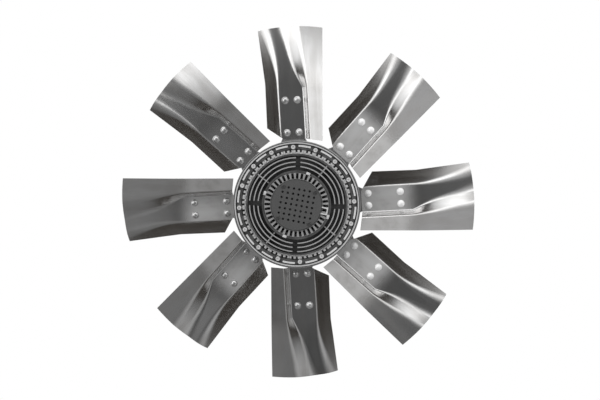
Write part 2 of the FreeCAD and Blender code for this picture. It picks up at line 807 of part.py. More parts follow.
def build_screw_ring():
    body = new_body("screw_ring")
    seat = S.ledge_level + S.gasket_thickness
    over = S.ledge_level + S.cover_base
    turned(body, "ring", [
        (ring_step, seat), (ring_edge, seat), (ring_edge, S.ring_level),
        (ring_bore, S.ring_level), (ring_bore, over), (ring_step, over)])
    spots = front_sketch(body, "spot_plan", S.ring_level)
    circle(spots, 0, screw_circle, S.seat_radius)
    spot = pad(body, spots, S.seat_height, "screw_seat")
    arcs = front_sketch(body, "arc_plan", S.ring_level)
    outside = ring_edge - S.arc_inset
    arc_slot(arcs, outside - S.arc_width, outside, 90 - 180 / S.screw_count, S.arc_span)
    arc = pad(body, arcs, S.arc_height, "raised_arc")
    pockets = front_sketch(body, "pocket_plan", S.ring_level)
    outside = ring_edge - S.pocket_inset
    for share in (-90, 90):
        arc_slot(pockets, outside - S.pocket_width, outside, 90 + share / S.screw_count, S.pocket_span)
    recess = pocket(body, pockets, S.pocket_depth, "pockets")
    holes = front_sketch(body, "hole_plan", S.ring_level + S.seat_height)
    circle(holes, 0, screw_circle, S.ring_screw_radius + S.screw_clearance)
    hole = pocket(body, holes, S.ring_level + S.seat_height - seat, "screw_hole")
    ring_of(body, [spot, arc, recess, hole], S.screw_count, "screw_places")


def build_finned_cover():
    """Dished cover: flange, outer wall, three free fins and the inner wall with its shelf."""
    body = new_body("finned_cover", S.cover_turn)
    low = S.ledge_level
    base = low + S.cover_base
    flange = ring_step - S.cover_clearance
    shelf = inner_wall_bore - S.shelf_width
    outline = [(shelf, low), (flange, low), (flange, base),
               (cover_wall_outer, base), (cover_wall_outer, S.cover_wall_level),
               (cover_wall_inner, S.cover_wall_level), (cover_wall_inner, base)]
    for number in range(fin_count):
        outer = first_fin - S.fin_pitch * number + S.fin_thickness / 2
        inner = outer - S.fin_thickness
        level = S.fin_level + S.fin_rise * number
        outline += [(outer, base), (outer - S.fin_taper, level), (inner + S.fin_taper, level), (inner, base)]
    top = S.shelf_level + S.vent_thickness
    outline += [(inner_wall_edge, base), (inner_wall_edge, top), (inner_wall_bore, top),
                (inner_wall_bore, S.shelf_level), (shelf, S.shelf_level)]
    turned(body, "dish", outline)
    gap = front_sketch(body, "gap_plan", top)
    half = S.gap_width / 2
    near, far = inner_wall_edge + S.gap_margin, cover_wall_inner - S.gap_margin
    polygon(gap, [(-half, near), (half, near), (half, far), (-half, far)])
    cut = pocket(body, gap, top - base, "fin_gap")
    ring_of(body, [cut], S.gap_count, "fin_gaps")
    rib = front_sketch(body, "rib_plan", base)
    spoke = S.rib_width / 2
    near, far = inner_wall_edge - S.rib_bite, cover_wall_inner + S.rib_bite
    polygon(rib, [(-spoke, near), (spoke, near), (spoke, far), (-spoke, far)])
    rib.AttachmentOffset = FreeCAD.Placement(rib.AttachmentOffset.Base,
                                             FreeCAD.Rotation(vector(0, 0, 1), -S.rib_turn.value))
    rib.setExpression("AttachmentOffset.Rotation.Angle", (-S.rib_turn).text)
    web = pad(body, rib, S.cover_wall_level - base, "cross_rib")
    ring_of(body, [web], S.gap_count, "cross_ribs")


def build_vent_ring():
    body = new_body("vent_ring", S.plate_turn)
    plan = front_sketch(body, "ring_plan", S.shelf_level)
    circle(plan, 0, 0, vent_edge)
    circle(plan, 0, 0, plate_edge - S.vent_lap)
    pad(body, plan, S.vent_thickness, "ring_plate")
    lug = front_sketch(body, "lug_plan", S.shelf_level)
    reach = S.hole_pitch * S.grid_reach
    circle(lug, reach, reach, S.lug_radius)
    ear = pad(body, lug, S.vent_thickness, "lug")
    drill = front_sketch(body, "lug_hole_plan", S.shelf_level + S.vent_thickness)
    circle(drill, reach, reach, S.plate_screw_radius + S.screw_clearance)
    bored = pocket(body, drill, S.vent_thickness, "lug_hole")
    ring_of(body, [ear, bored], S.lug_count, "lugs")
    slots = front_sketch(body, "slot_plan", S.shelf_level + S.vent_thickness)
    half = S.slot_width / 2
    polygon(slots, [(-half, slot_inner), (half, slot_inner), (half, slot_outer), (-half, slot_outer)])
    slot = pocket(body, slots, S.vent_thickness, "slot")
    ring_of(body, [slot], S.slot_count, "slots")


def build_middle_plate():
    """Thin round plate with a square grid of holes; the grid's corners are the four screws."""
    body = new_body("middle_plate", S.plate_turn)
    level = S.shelf_level + S.vent_thickness
    plan = front_sketch(body, "plate_plan", level)
    circle(plan, 0, 0, plate_edge)
    pad(body, plan, S.plate_thickness, "plate")
    grid = front_sketch(body, "grid_plan", level + S.plate_thickness)
    reach = int(S.grid_reach.value)
    for column in range(-reach, reach + 1):
        for line in range(-reach, reach + 1):
            corner = abs(column) == reach and abs(line) == reach
            radius = S.plate_screw_radius + S.screw_clearance if corner else S.hole_radius
            circle(grid, S.hole_pitch * column, S.hole_pitch * line, radius)
    pocket(body, grid, S.plate_thickness, "holes")


# Fasteners and clips, each kind one node of separate solids.

def socket_screws(name, turn, x, z, seat, radius, head, head_height, length, count, backward=False):
    """Socket-head screws whose heads sit on the level seat and point forward, or backward."""
    body = new_body(name, turn)
    way = -1 if backward else 1
    top = seat + way * head_height
    end = seat - way * length
    steps = [(0, top), (head - S.screw_chamfer, top), (head, top - way * S.screw_chamfer), (head, seat),
             (radius, seat), (radius, end), (0, end)]
    screw = turned_pin(body, name + "_blank", x, z, steps)
    plan = front_sketch(body, name + "_socket_plan", top)
    hexagon(plan, x, z, head * S.socket_share)
    socket = pocket(body, plan, head_height * S.socket_depth_share, name + "_socket", forward=backward)
    ring_of(body, [screw, socket], count, name + "_ring")


def build_screws():
    socket_screws("ring_screws", None, 0, screw_circle, S.ring_level + S.seat_height, S.ring_screw_radius,
                  S.ring_screw_head, S.ring_screw_head_height, S.ring_screw_length, S.screw_count)
    reach = S.hole_pitch * S.grid_reach
    socket_screws("plate_screws", S.plate_turn, reach, reach, S.shelf_level + S.vent_thickness +
                  S.plate_thickness, S.plate_screw_radius, S.plate_screw_head, S.plate_screw_head_height,
                  S.plate_screw_length, S.lug_count)
    socket_screws("bush_screws", None, 0, S.bush_screw_circle, S.bush_screw_head_height - S.spider_stand,
                  S.bush_screw_radius, S.bush_screw_head, S.bush_screw_head_height, S.bush_screw_length,
                  S.bush_screw_count, backward=True)


def build_spider_screws():
    """Hexagon-head screws through the spider into the hub body, from behind, between the arms."""
    body = new_body("spider_screws")
    seat = -S.spider_thickness
    spread = 180 / S.blade_count
    x = spider_screw_circle * spread.sin()
    z = spider_screw_circle * spread.cos()
    plan = front_sketch(body, "head_plan", seat)
    hexagon(plan, x, z, S.spider_screw_flats)
    head = pad(body, plan, S.spider_screw_head_height, "head", backward=True)
    shank = front_sketch(body, "shank_plan", seat)
    circle(shank, x, z, S.spider_screw_radius)
    stem = pad(body, shank, S.spider_screw_length, "shank")
    ring_of(body, [head, stem], S.blade_count, "screw_ring")


def build_clips():
    """Small clips that hold the vent ring in the inner wall, and one balance clip."""
    body = new_body("retaining_clips", S.clip_turn)
    top = S.shelf_level + S.vent_thickness
    plan = front_sketch(body, "clip_plan", top)
    half = S.clip_width / 2
    near, far = slot_outer + S.clip_inset, inner_wall_edge + S.clip_lap
    polygon(plan, [(-half, near), (half, near), (half, far), (-half, far)])
    clip = pad(body, plan, S.clip_thickness, "clip")
    crown = front_sketch(body, "crown_plan", top + S.clip_thickness)
    circle(crown, 0, (near + far) / 2, S.clip_crown_radius)
    rivet = pad(body, crown, S.clip_crown_height, "crown")
    ring_of(body, [clip, rivet], S.clip_count, "clips")
    weight = new_body("balance_clip", S.balance_turn)
    outer = front_sketch(weight, "clip_plan", top)
    side_half = S.balance_width / 2
    mouth = side_half - S.balance_wall
    low = plate_edge + S.balance_gap
    polygon(outer, [(-side_half, low), (-mouth, low), (-mouth, slot_outer - S.balance_wall),
                    (mouth, slot_outer - S.balance_wall), (mouth, low), (side_half, low),
                    (side_half, slot_outer), (-side_half, slot_outer)])
    pad(weight, outer, S.balance_height, "loop")


build_spider()
build_hub_body()
build_shaft_bush()
build_gasket()
build_finned_cover()
build_screw_ring()
build_vent_ring()
build_middle_plate()
build_blades()
build_rivets()
build_screws()
build_spider_screws()
build_clips()
doc.recompute()

for item in doc.Objects:
    for word in ("Invalid", "Error"):
        if word in item.State:
            raise RuntimeError(f"{item.Name} is {item.State}")
for node in nodes:
    if node.Shape.isNull() or not node.Shape.isValid():
        raise RuntimeError(f"{node.Label} has no valid shape")

os.makedirs("parts", exist_ok=True)
for node in nodes:
    node.Shape.exportStep(f"parts/{node.Label}.step")
    box = node.Shape.BoundBox
    print(node.Label, len(node.Shape.Solids), round(node.Shape.Volume), round(box.YMin, 1), round(box.YMax, 1))
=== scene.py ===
import json
import logging
import math
from dataclasses import dataclass, replace
from enum import Enum

import bmesh
import bpy
from mathutils import Matrix, Vector


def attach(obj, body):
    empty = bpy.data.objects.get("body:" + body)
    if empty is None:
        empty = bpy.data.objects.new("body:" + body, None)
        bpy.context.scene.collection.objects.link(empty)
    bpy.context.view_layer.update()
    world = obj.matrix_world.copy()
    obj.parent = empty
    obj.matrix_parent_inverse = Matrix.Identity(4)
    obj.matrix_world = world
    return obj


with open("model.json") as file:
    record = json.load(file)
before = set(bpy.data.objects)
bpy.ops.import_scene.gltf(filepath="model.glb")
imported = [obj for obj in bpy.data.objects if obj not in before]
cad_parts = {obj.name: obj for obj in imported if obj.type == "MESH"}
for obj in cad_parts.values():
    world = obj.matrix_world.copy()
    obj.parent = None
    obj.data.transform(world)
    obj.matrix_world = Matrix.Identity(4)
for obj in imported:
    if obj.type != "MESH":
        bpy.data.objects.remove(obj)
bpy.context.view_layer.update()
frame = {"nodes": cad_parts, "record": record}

log = logging.getLogger("impeller")
ROOT = "root"

FLOAT = "NodeSocketFloat"
VECTOR = "NodeSocketVector"
WHITE = (1.0, 1.0, 1.0, 1.0)
# What a place or a direction is multiplied by to leave out its part along the shaft
ACROSS_SHAFT = (1.0, 0.0, 1.0)
# How squarely a surface faces the front where the mask of the front faces starts and where it is full
FRONT_COSINES = (0.9, 0.98)
# Between the first bounce and the second
FIRST_BOUNCE = 1.5


class Graph:
    """A node tree with short calls to add nodes and join their sockets."""

    def __init__(self, tree: bpy.types.NodeTree) -> None:
        """Starts on an empty tree.

        Args:
            tree: The node tree of a material, a world or a group.
        """
        self.tree = tree
        tree.nodes.clear()

    def add(self, kind: str, inputs: dict[str | int, object] | None = None,
            **settings: object) -> bpy.types.Node:
        """Adds a node, sets its properties and fills or links its inputs.

        Args:
            kind: The node's type name.
            inputs: Values or output sockets by input name or number.
            settings: Properties of the node itself.

        Returns:
            The new node.
        """
        node = self.tree.nodes.new(kind)
        for name, value in settings.items():
            setattr(node, name, value)
        for name, value in (inputs or {}).items():
            self.feed(node.inputs[name], value)
        return node

    def feed(self, socket: bpy.types.NodeSocket, value: object) -> None:
        """Links an output socket to an input, or sets the input's own value.

        Args:
            socket: The input.
            value: An output socket, or a plain value.
        """
        if isinstance(value, bpy.types.NodeSocket):
            self.tree.links.new(value, socket)
        else:
            socket.default_value = value

    def maths(self, operation: str, *values: object) -> bpy.types.NodeSocket:
        """Adds a Math node.

        Args:
            operation: The operation's name.
            values: One to three numbers or output sockets.

        Returns:
            The result's socket.
        """
        node = self.add("ShaderNodeMath", dict(enumerate(values)), operation=operation)
        return node.outputs[0]

    def vector(self, operation: str, *values: object, output: int = 0) -> bpy.types.NodeSocket:
        """Adds a Vector Math node.

        Args:
            operation: The operation's name.
            values: Vectors or output sockets.
            output: Which of the node's outputs is wanted.

        Returns:
            The result's socket.
        """
        node = self.add("ShaderNodeVectorMath", dict(enumerate(values)), operation=operation)
        return node.outputs[output]

    def blend(self, factor: object, first: object, second: object) -> bpy.types.NodeSocket:
        """Mixes two colours.

        Args:
            factor: 0 for the first, 1 for the second.
            first: A colour or an output socket.
            second: A colour or an output socket.

        Returns:
            The mixed colour's socket.
        """
        # The Mix node keeps its colours in inputs 6 and 7, and gives a colour at output 2
        node = self.add("ShaderNodeMix", data_type="RGBA")
        self.feed(node.inputs[0], factor)
        self.feed(node.inputs[6], first)
        self.feed(node.inputs[7], second)
        return node.outputs[2]

    def blend_number(self, factor: object, first: object, second: object) -> bpy.types.NodeSocket:
        """Mixes two numbers by a factor and returns the number."""
        return self.add("ShaderNodeMix", {0: factor, 2: first, 3: second}, data_type="FLOAT").outputs[0]

    def ramp(self, value: object, low: object, high: object,
             out_low: object = 0.0, out_high: object = 1.0) -> bpy.types.NodeSocket:
        """Maps a range smoothly to another, held at both ends.

        Args:
            value: The number to map.
            low: Where the ramp starts.
            high: Where it ends.
            out_low: What it gives at its start.
            out_high: What it gives at its end.

        Returns:
            The mapped number's socket.
        """
        node = self.add("ShaderNodeMapRange", {0: value, 1: low, 2: high, 3: out_low, 4: out_high},
                        interpolation_type="SMOOTHSTEP")
        return node.outputs[0]


def rgb(grey: float, warmth: float = 0.0) -> tuple[float, float, float, float]:
    """A grey, a little warmer or cooler, as a colour with alpha."""
    return (grey * (1 + warmth), grey, grey * (1 - warmth), 1.0)


def group(name: str, inputs: dict[str, tuple[str, object]], outputs: dict[str, str]) -> Graph:
    """Makes a shader node group with named sockets.

    Args:
        name: The group's name.
        inputs: Socket type and default value by name.
        outputs: Socket type by name.

    Returns:
        The group's graph, with a Group Input and a Group Output node in it.
    """
    tree = bpy.data.node_groups.new(name, "ShaderNodeTree")
    for label, (kind, value) in inputs.items():
        socket = tree.interface.new_socket(label, in_out="INPUT", socket_type=kind)
        if value is not None:
            socket.default_value = value
    for label, kind in outputs.items():
        tree.interface.new_socket(label, in_out="OUTPUT", socket_type=kind)
    graph = Graph(tree)
    graph.add("NodeGroupInput", name="in")
    graph.add("NodeGroupOutput", name="out")
    return graph


def shaft_distance(g: Graph, place: object) -> bpy.types.NodeSocket:
    """The distance of a place from the shaft axis."""
    return g.vector("LENGTH", g.vector("MULTIPLY", place, ACROSS_SHAFT), output=1)


def grain_group() -> bpy.types.NodeTree:
    """Rolling grain along Z: fine scratches, broad bands and wide stains.

    Returns:
        The node group.
    """
    g = group("Rolling grain",
              {"Place": (VECTOR, None), "Stretch": (FLOAT, 60.0), "Lines": (FLOAT, 900.0),
               "Bands": (FLOAT, 45.0)},
              {"Scratches": FLOAT, "Bands": FLOAT, "Stains": FLOAT})
    source, out = g.tree.nodes["in"], g.tree.nodes["out"]
    place, stretch = source.outputs["Place"], source.outputs["Stretch"]
    squash = g.maths("DIVIDE", 1.0, stretch)
    thin = g.vector("MULTIPLY", place, g.add("ShaderNodeCombineXYZ", {0: 1.0, 1: 1.0, 2: squash}).outputs[0])
    lines = g.add("ShaderNodeTexNoise", {"Vector": thin, "Scale": source.outputs["Lines"], "Detail": 4.0,
                                         "Roughness": 0.6})
    bands = g.add("ShaderNodeTexNoise", {"Vector": thin, "Scale": source.outputs["Bands"], "Detail": 5.0,
                                         "Roughness": 0.55})
    stains = g.add("ShaderNodeTexNoise", {"Vector": place, "Scale": 14.0, "Detail": 6.0, "Roughness": 0.62})
    g.feed(out.inputs["Scratches"], lines.outputs[0])
    g.feed(out.inputs["Bands"], bands.outputs[0])
    g.feed(out.inputs["Stains"], g.ramp(stains.outputs[0], 0.4, 0.75))
    return g.tree


def cast_group() -> bpy.types.NodeTree:
    """The skin of a casting: a fine orange-peel height and a patchy tone.

    Returns:
        The node group.
    """
    g = group("Cast skin", {"Place": (VECTOR, None), "Grit": (FLOAT, 700.0), "Patches": (FLOAT, 40.0)},
              {"Height": FLOAT, "Tone": FLOAT})
    source, out = g.tree.nodes["in"], g.tree.nodes["out"]
    grit = g.add("ShaderNodeTexNoise", {"Vector": source.outputs["Place"], "Scale": source.outputs["Grit"],
                                        "Detail": 3.0})
    tone = g.add("ShaderNodeTexNoise", {"Vector": source.outputs["Place"], "Scale": source.outputs["Patches"],
                                        "Detail": 5.0, "Roughness": 0.6})
    g.feed(out.inputs["Height"], grit.outputs[0])
    g.feed(out.inputs["Tone"], g.ramp(tone.outputs[0], 0.3, 0.7))
    return g.tree


def turned_group() -> bpy.types.NodeTree:
    """Lathe marks round the shaft axis: fine rings that vary slowly round the circle.

    Returns:
        The node group.
    """
    g = group("Lathe marks", {"Place": (VECTOR, None), "Rings": (FLOAT, 1500.0)}, {"Rings": FLOAT})
    source, out = g.tree.nodes["in"], g.tree.nodes["out"]
    radius = shaft_distance(g, source.outputs["Place"])
    depth = g.add("ShaderNodeSeparateXYZ", {0: source.outputs["Place"]}).outputs[1]
    spot = g.add("ShaderNodeCombineXYZ", {0: radius, 1: depth, 2: 0.0}).outputs[0]
    rings = g.add("ShaderNodeTexNoise", {"Vector": spot, "Scale": source.outputs["Rings"], "Detail": 3.0})
    g.feed(out.inputs["Rings"], rings.outputs[0])
    return g.tree


class Groups:
    """The shared node groups, each built once."""

    grain: bpy.types.NodeTree
    cast: bpy.types.NodeTree
    turned: bpy.types.NodeTree

    @classmethod
    def build(cls) -> None:
        """Builds the groups."""
        cls.grain = grain_group()
        cls.cast = cast_group()
        cls.turned = turned_group()


@dataclass(frozen=True)
class Finish:
    """What all the finishes share: a name, a base grey, a roughness and how metallic they are."""

    name: str
    grey: float
    roughness: float
    metallic: float = 1.0

    def start(self) -> tuple[Graph, bpy.types.Node, bpy.types.NodeSocket]:
        """Makes the material with its shader, and gives the place on the object.

        Returns:
            The graph, the Principled shader and the Object coordinates.
        """
        material = bpy.data.materials.new(self.name)
        material.use_nodes = True
        graph = Graph(material.node_tree)
        shader = graph.add("ShaderNodeBsdfPrincipled")
        shader.inputs["Base Color"].default_value = rgb(self.grey)
        shader.inputs["Metallic"].default_value = self.metallic
        shader.inputs["Roughness"].default_value = self.roughness
        out = graph.add("ShaderNodeOutputMaterial")
        graph.feed(out.inputs[0], shader.outputs[0])
        place = graph.add("ShaderNodeTexCoord").outputs["Object"]
        return graph, shader, place

    def material(self) -> bpy.types.Material:
        """Builds the material, plain unless a kind of finish adds to it."""
        self.start()
        return bpy.data.materials[self.name]


def facing_front(g: Graph) -> bpy.types.NodeSocket:
    """A mask of the surfaces that face the front, -Y, which fades as they turn away from it.

    Args:
        g: Graph to build in.

    Returns:
        Socket of the mask.
    """
    normal = g.add("ShaderNodeTexCoord").outputs["Normal"]
    none, full = FRONT_COSINES
    return g.ramp(g.add("ShaderNodeSeparateXYZ", {0: normal}).outputs[1], -none, -full)


@dataclass(frozen=True)
class RolledSheet(Finish):
    """Rolled steel sheet whose grain runs along the piece.

    The tone and the roughness follow the grain's bands, over tone_bands and rough_bands of their height. Near
    the root the land is made less metallic so that it shows lighter: painted light, by a share set for each
    blade, at least the least share of it; the fade holds the distances from the shaft axis where the painted
    light ends and where it is full.
    """

    turn: float = 0.0
    dark_grey: float = 0.4
    dark_warmth: float = 0.02
    scratch_depth: float = 0.00001
    scratch_strength: float = 0.12
    anisotropy: float = 0.5
    tone_bands: tuple[float, float] = (0.35, 0.65)
    rough_bands: tuple[float, float] = (0.3, 0.7)
    rough_spread: tuple[float, float] = (0.8, 1.25)
    painted_light: float = 0.0
    painted_light_least: float = 0.75
    painted_light_fade: tuple[float, float] = (0.25, 0.2)

    def material(self) -> bpy.types.Material:
        """Builds the sheet, its grain turned to the piece's own length.

        Returns:
            The material.
        """
        g, shader, place = self.start()
        along = g.add("ShaderNodeMapping", {"Vector": place, "Rotation": (0.0, -self.turn, 0.0)})
        grain = g.add("ShaderNodeGroup", node_tree=Groups.grain)
        g.feed(grain.inputs["Place"], along.outputs[0])
        tone = g.maths("MULTIPLY_ADD", grain.outputs["Stains"], 0.5,
                       g.maths("MULTIPLY", g.ramp(grain.outputs["Bands"], *self.tone_bands), 0.5))
        g.feed(shader.inputs["Base Color"],
               g.blend(tone, rgb(self.grey), rgb(self.dark_grey, self.dark_warmth)))
        smooth, rough = (self.roughness * share for share in self.rough_spread)
        g.feed(shader.inputs["Roughness"],
               g.ramp(grain.outputs["Bands"], *self.rough_bands, smooth, rough))
        bump = g.add("ShaderNodeBump", {"Height": grain.outputs["Scratches"],
                                        "Strength": self.scratch_strength, "Distance": self.scratch_depth})
        g.feed(shader.inputs["Normal"], bump.outputs[0])
        # Painted light: the land's front faces near the root lose metal and show lighter, by each blade's own
        # share
        inner = g.ramp(g.add("ShaderNodeSeparateXYZ", {0: along.outputs[0]}).outputs[2], *self.painted_light_fade)
        patchy = g.ramp(grain.outputs["Stains"], 0.0, 1.0, self.painted_light, self.painted_light * self.painted_light_least)
        painted_light_mask = g.maths("MULTIPLY", facing_front(g), g.maths("MULTIPLY", inner, patchy))
        g.feed(shader.inputs["Metallic"], g.maths("SUBTRACT", 1.0, painted_light_mask))
        shader.inputs["Anisotropic"].default_value = self.anisotropy
        across = g.add("ShaderNodeCombineXYZ", {0: math.cos(self.turn), 1: 0.0, 2: -math.sin(self.turn)})
        g.feed(shader.inputs["Tangent"], across.outputs[0])
        return bpy.data.materials[self.name]


def band(g: Graph, radius: bpy.types.NodeSocket, limits: tuple[float, float]) -> bpy.types.NodeSocket:
    """A mask that is 1 between two radii.

    Args:
        g: Graph to build in.
        radius: Socket with the distance from the shaft axis.
        limits: The inner and the outer radius.

    Returns:
        Socket of the mask.
    """
    inner, outer = limits
    return g.maths("MULTIPLY", g.maths("GREATER_THAN", radius, inner),
                   g.maths("LESS_THAN", radius, outer))


@dataclass(frozen=True)
class Casting(Finish):
    """Cast aluminium with a fine skin, whose foremost front faces are machined bright.

    They are bright in front of machined_y between the two radii of machined_band, and inside border_radius at
    any height; the turned groove of groove_band is dark. Radii are in metres from the shaft axis.
    """

    dark_grey: float = 0.2
    machined_grey: float = 0.5
    machined_y: float = 0.0
    machined_band: tuple[float, float] = (0.0, 1.0)
    border_radius: float = 0.0
    groove_band: tuple[float, float] = (0.0, 0.0)
    groove_grey: float = 0.02
    skin_depth: float = 0.0001
    skin_strength: float = 0.4

    def material(self) -> bpy.types.Material:
        """Builds the casting.

        Returns:
            The material.
        """
        g, shader, place = self.start()
        skin = g.add("ShaderNodeGroup", node_tree=Groups.cast)
        g.feed(skin.inputs["Place"], place)
        # Away from the machined fronts the skin's greys stand; where a finish sets them dark, as on the
        # finned cover, they are partly the casting's own colour and partly painted shade in its slots and
        # hollows
        cast = g.blend(skin.outputs["Tone"], rgb(self.grey), rgb(self.dark_grey))
        depth = g.add("ShaderNodeSeparateXYZ", {0: place}).outputs[1]
        foremost = g.maths("LESS_THAN", depth, self.machined_y)
        radius = shaft_distance(g, place)
        raised = g.maths("MULTIPLY", foremost, band(g, radius, self.machined_band))
        bright = g.maths("MAXIMUM", raised, g.maths("LESS_THAN", radius, self.border_radius))
        machined = g.maths("MULTIPLY", facing_front(g), bright)
        faces = g.blend(machined, cast, rgb(self.machined_grey))
        g.feed(shader.inputs["Base Color"],
               g.blend(band(g, radius, self.groove_band), faces, rgb(self.groove_grey)))
        bump = g.add("ShaderNodeBump", {"Height": skin.outputs["Height"], "Strength": self.skin_strength,
                                        "Distance": self.skin_depth})
        g.feed(shader.inputs["Normal"], bump.outputs[0])
        return bpy.data.materials[self.name]


@dataclass(frozen=True)
class PaleFloor(Finish):
    """Matt floor that the camera sees nearly white."""

    white: float = 0.95

    def material(self) -> bpy.types.Material:
        """Builds the floor's material.

        Returns:
            The material.
        """
        g, shader, _ = self.start()
        to_camera = g.add("ShaderNodeLightPath").outputs["Is Camera Ray"]
        g.feed(shader.inputs["Base Color"], g.blend(to_camera, rgb(self.grey), rgb(self.white)))
        return bpy.data.materials[self.name]


@dataclass(frozen=True)
class PaintedLitHeads(Finish):
    """Round heads, lit white on the right-hand blades and shaded to more metallic grey steel on the left-hand
    ones: painted light, as from a lamp on the right.

    They pass from the shaded heads to the lit ones between the two limits on X.
    """

    shaded_grey: float = 0.62
    shaded_metallic: float = 0.85
    shaded_x: float = -0.02
    lit_x: float = 0.08

    def material(self) -> bpy.types.Material:
        """Builds the heads' metal.

        Returns:
            The material.
        """
        g, shader, place = self.start()
        across = g.add("ShaderNodeSeparateXYZ", {0: place}).outputs[0]
        # Painted light: heads further to the right (+X) are lit white and those on the left are shaded
        lit_side = g.ramp(across, self.shaded_x, self.lit_x)
        g.feed(shader.inputs["Base Color"], g.blend(lit_side, rgb(self.shaded_grey), rgb(self.grey)))
        g.feed(shader.inputs["Metallic"], g.ramp(across, self.shaded_x, self.lit_x, self.shaded_metallic,
                                                 self.metallic))
        return bpy.data.materials[self.name]


@dataclass(frozen=True)
class TurnedMetal(Finish):
    """Metal turned on a lathe, with fine rings round the shaft axis."""

    ring_depth: float = 0.00002
    ring_strength: float = 0.5
    rough_rings: tuple[float, float] = (0.3, 0.7)
    rough_spread: tuple[float, float] = (0.75, 1.3)

    def material(self) -> bpy.types.Material:
        """Builds the turned metal.

        Returns:
            The material.
        """
        g, shader, place = self.start()
        marks = g.add("ShaderNodeGroup", node_tree=Groups.turned)
        g.feed(marks.inputs["Place"], place)
        smooth, rough = (self.roughness * share for share in self.rough_spread)
        g.feed(shader.inputs["Roughness"],
               g.ramp(marks.outputs["Rings"], *self.rough_rings, smooth, rough))
        bump = g.add("ShaderNodeBump", {"Height": marks.outputs["Rings"], "Strength": self.ring_strength,
                                        "Distance": self.ring_depth})
        g.feed(shader.inputs["Normal"], bump.outputs[0])
        return bpy.data.materials[self.name]


@dataclass
class PhotoView:
    """Where the photograph was taken from, and what it shows of the impeller.

    The pixel fan_at is where the shaft axis crosses the plane of the rivets, at rivet_level.
    """

    width: int = 600
    height: int = 400
    metres_per_pixel: float = 0.002
    fan_at: tuple[float, float] = (297.5, 203.2)
    rivet_level: float = -0.032
    azimuth: float = math.radians(3.0)
    elevation: float = math.radians(4.4)
    distance: float = 3.0
    roll: float = math.radians(3.4)
    sensor: float = 0.036

    def camera(self) -> bpy.types.Object:
        """Adds the camera.

        Returns:
            The camera's object, made the scene's camera.
        """
        target = Vector((0.0, self.rivet_level, 0.0))
        back = Vector((math.sin(self.azimuth) * math.cos(self.elevation),
                       -math.cos(self.azimuth) * math.cos(self.elevation),
                       math.sin(self.elevation)))
        data = bpy.data.cameras.new("photo_camera")
        data.sensor_width = self.sensor * 1000
        data.lens = data.sensor_width * self.distance / (self.width * self.metres_per_pixel)
        data.dof.use_dof = False
        turned = (-back).to_track_quat("-Z", "Y").to_matrix() @ Matrix.Rotation(-self.roll, 3, "Z")
        right, up = turned.col[0], turned.col[1]
        off_x = (self.fan_at[0] - self.width / 2) * self.metres_per_pixel
        off_z = (self.height / 2 - self.fan_at[1]) * self.metres_per_pixel
        camera = bpy.data.objects.new("photo_camera", data)
        bpy.context.scene.collection.objects.link(camera)
        place = target + back * self.distance - right * off_x - up * off_z
        camera.matrix_world = Matrix.Translation(place) @ turned.to_4x4()
        bpy.context.scene.camera = camera
        return camera


def towards(heading: float) -> tuple[float, float, float]:
    """The direction of a heading, in degrees clockwise from straight up, seen from the front."""
    turn = math.radians(heading)
    return (math.sin(turn), 0.0, math.cos(turn))


@dataclass(frozen=True)
class Card:
    """A soft patch of light in the room, or a dark one with a level below 0, as the impeller sees it.

    Headings are degrees clockwise from straight up, seen from the front. Angles are degrees from the way to
    the camera, so 0 is the camera and 180 is straight behind the impeller. Near and far are such angles, soft
    is how far their edges spread, and fade is how far the sides spread about half_width.
    """

    name: str
    heading: float
    half_width: float
    near: float
    far: float
    level: float
    soft: float = 7.0
    fade: float = 18.0


def card_group() -> bpy.types.NodeTree:
    """One card of the room: its level where a direction lies inside it, with soft edges.

    Returns:
        The node group.
    """
    g = group("Soft card",
              {"Aside": (VECTOR, None), "Angle": (FLOAT, 0.0), "Heading": (VECTOR, None),
               "Outer": (FLOAT, 0.0), "Inner": (FLOAT, 1.0), "Near": (FLOAT, 0.0), "Far": (FLOAT, 180.0),
               "Soft": (FLOAT, 7.0), "Level": (FLOAT, 1.0)},
              {"Level": FLOAT})
    source, out = g.tree.nodes["in"].outputs, g.tree.nodes["out"]
    side = g.vector("DOT_PRODUCT", source["Aside"], source["Heading"], output=1)
    round_it = g.ramp(side, source["Outer"], source["Inner"])
    starts = g.ramp(source["Angle"], g.maths("SUBTRACT", source["Near"], source["Soft"]),
                    g.maths("ADD", source["Near"], source["Soft"]))
    ends = g.ramp(source["Angle"], g.maths("SUBTRACT", source["Far"], source["Soft"]),
                  g.maths("ADD", source["Far"], source["Soft"]), 1.0, 0.0)
    inside = g.maths("MULTIPLY", round_it, g.maths("MULTIPLY", starts, ends))
    g.feed(out.inputs["Level"], g.maths("MULTIPLY", inside, source["Level"]))
    return g.tree


CARDS = (
    Card("ring of lights", heading=-12.0, half_width=84.0, near=44.0, far=64.0, level=1.1),
    Card("tall lights", heading=-38.0, half_width=66.0, near=45.0, far=79.5, level=0.6, soft=6.0),
    Card("left card", heading=-80.0, half_width=19.0, near=32.5, far=46.0, level=1.55, soft=3.0, fade=12.0),
    Card("left strip", heading=-86.0, half_width=22.0, near=67.0, far=74.0, level=0.6, soft=3.0, fade=12.0),
    Card("upper fill", heading=8.0, half_width=58.0, near=26.0, far=43.0, level=0.31, soft=5.0),
    Card("right fill", heading=110.0, half_width=60.0, near=42.0, far=64.0, level=0.28),
    Card("lower left fill", heading=-140.0, half_width=26.0, near=22.0, far=46.0, level=0.07, soft=5.0),
    Card("dark lower corner", heading=165.0, half_width=25.0, near=20.0, far=38.0, level=-0.07, soft=4.0,
         fade=15.0),
    Card("dark right side", heading=98.0, half_width=18.0, near=27.0, far=37.0, level=-0.05, soft=4.0,
         fade=12.0),
)


@dataclass(frozen=True)
class Lamp:
    """A soft area light that faces the hub and that bright metal doesn't mirror."""

    name: str
    place: tuple[float, float, float]
    size: tuple[float, float]
    watts: float


LAMPS = (
    Lamp("top_light", place=(0.7, -1.2, 1.9), size=(1.2, 0.9), watts=8.0),
    Lamp("right_light", place=(0.95, -0.85, 0.1), size=(0.7, 0.7), watts=3.0),
)


